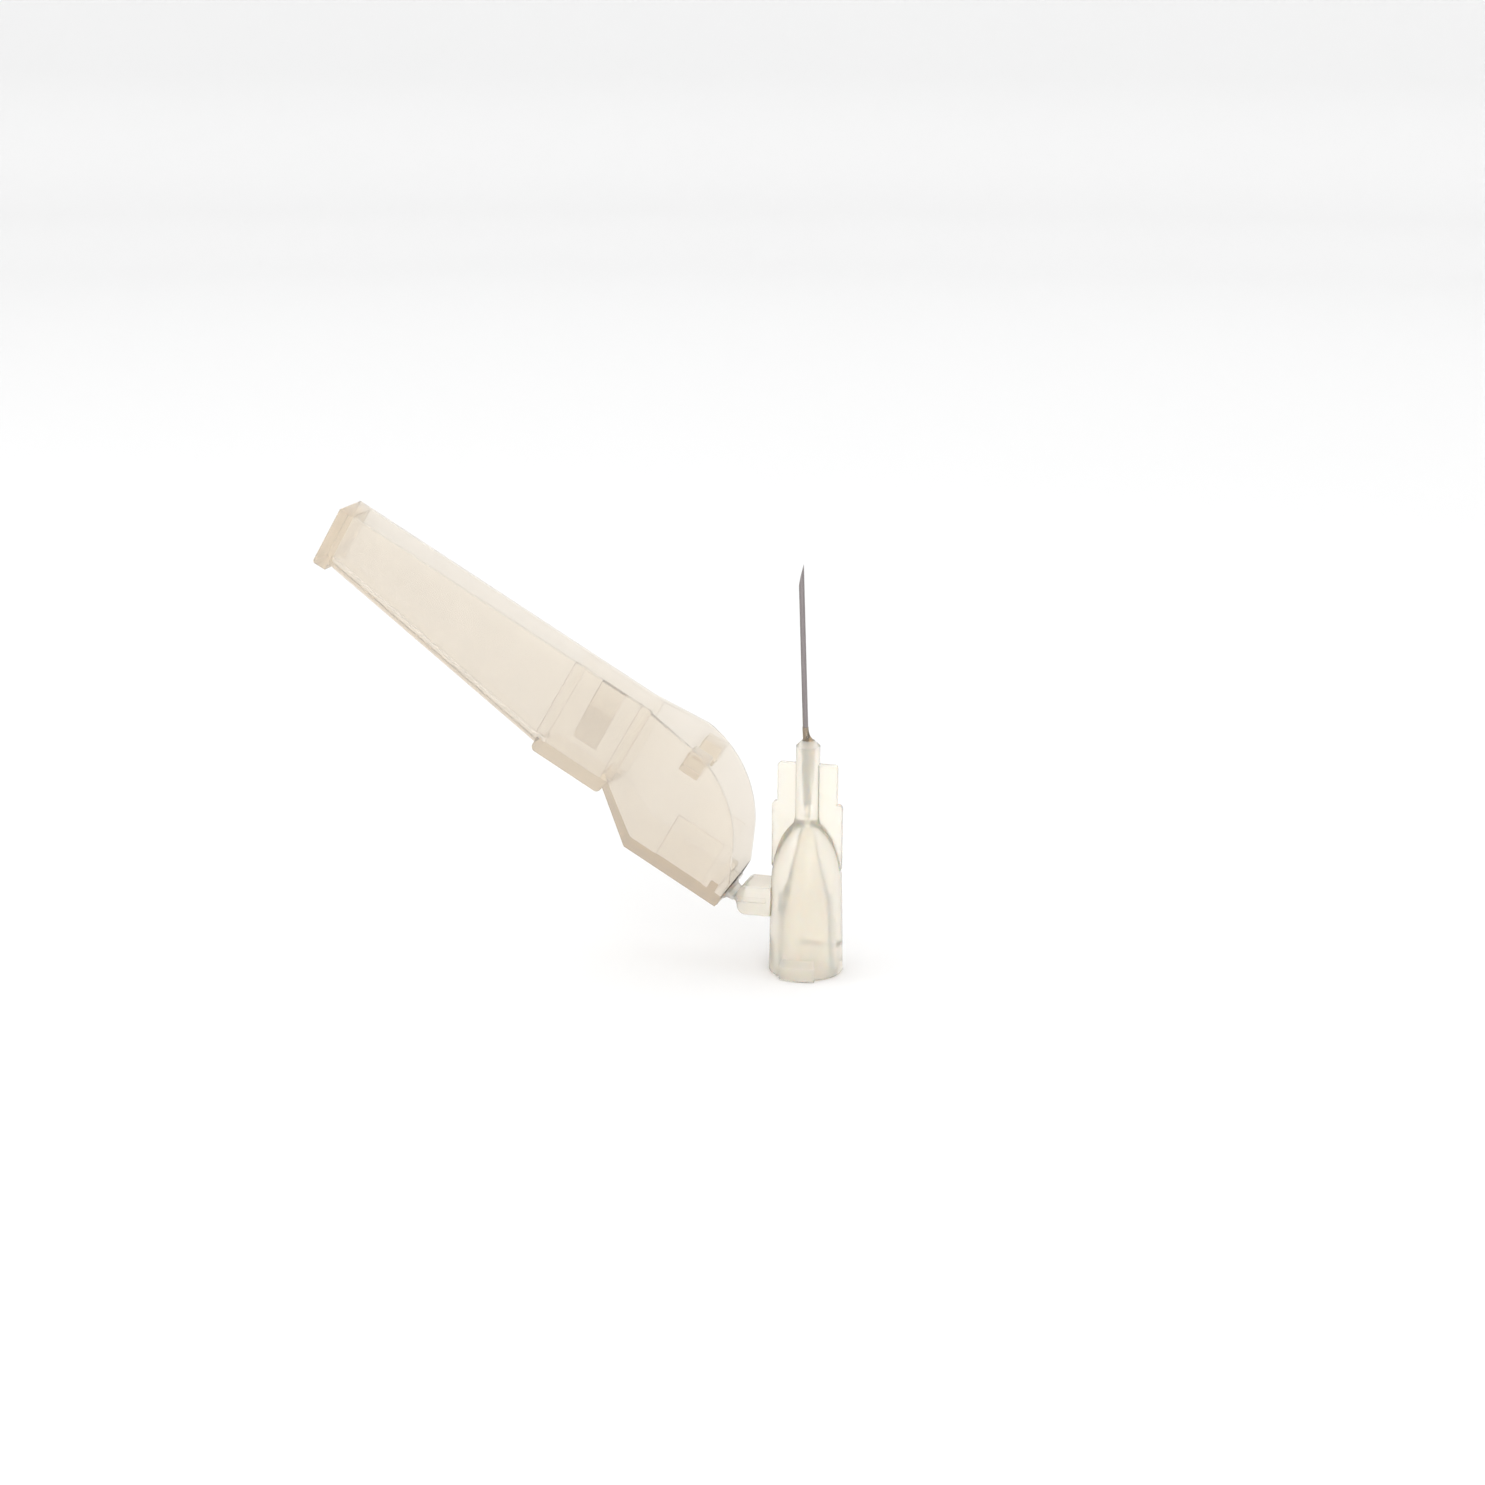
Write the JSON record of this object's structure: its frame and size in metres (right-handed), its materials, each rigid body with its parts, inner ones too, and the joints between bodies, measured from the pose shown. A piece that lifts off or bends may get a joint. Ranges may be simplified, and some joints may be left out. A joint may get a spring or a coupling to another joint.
{
  "type": "safety hypodermic needle",
  "caption": "Translucent luer needle hub with a bonded steel cannula and a hinged trough-shaped guard that swings over the point and locks beside the hub's fin.",
  "frame": {"origin": "centre of the hub's open end, at the mouth of the luer socket", "axes": "+Z along the hub towards the needle's point, X in the plane that the guard swings in with the guard on the -X side, Y across the guard"},
  "size_m": [0.0499, 0.0082, 0.041],
  "materials": {
    "hub_plastic": "translucent moulded polypropylene, satin",
    "guard_plastic": "translucent moulded polypropylene, satin",
    "cannula_steel": "drawn stainless steel tube",
    "bead_adhesive": "cured clear adhesive"
  },
  "bodies": {
    "hub_body": {"hub": "hub_plastic", "cannula": "cannula_steel", "adhesive_bead": "bead_adhesive"},
    "guard_body": {"guard": "guard_plastic"}
  },
  "joints": [
    {"name": "guard_hinge", "type": "hinge", "parent": "hub_body", "child": "guard_body", "pos_m": [-0.0066, 0, 0.0068], "axis": [0, 1, 0], "range_deg": [-40, 60]}
  ]
}
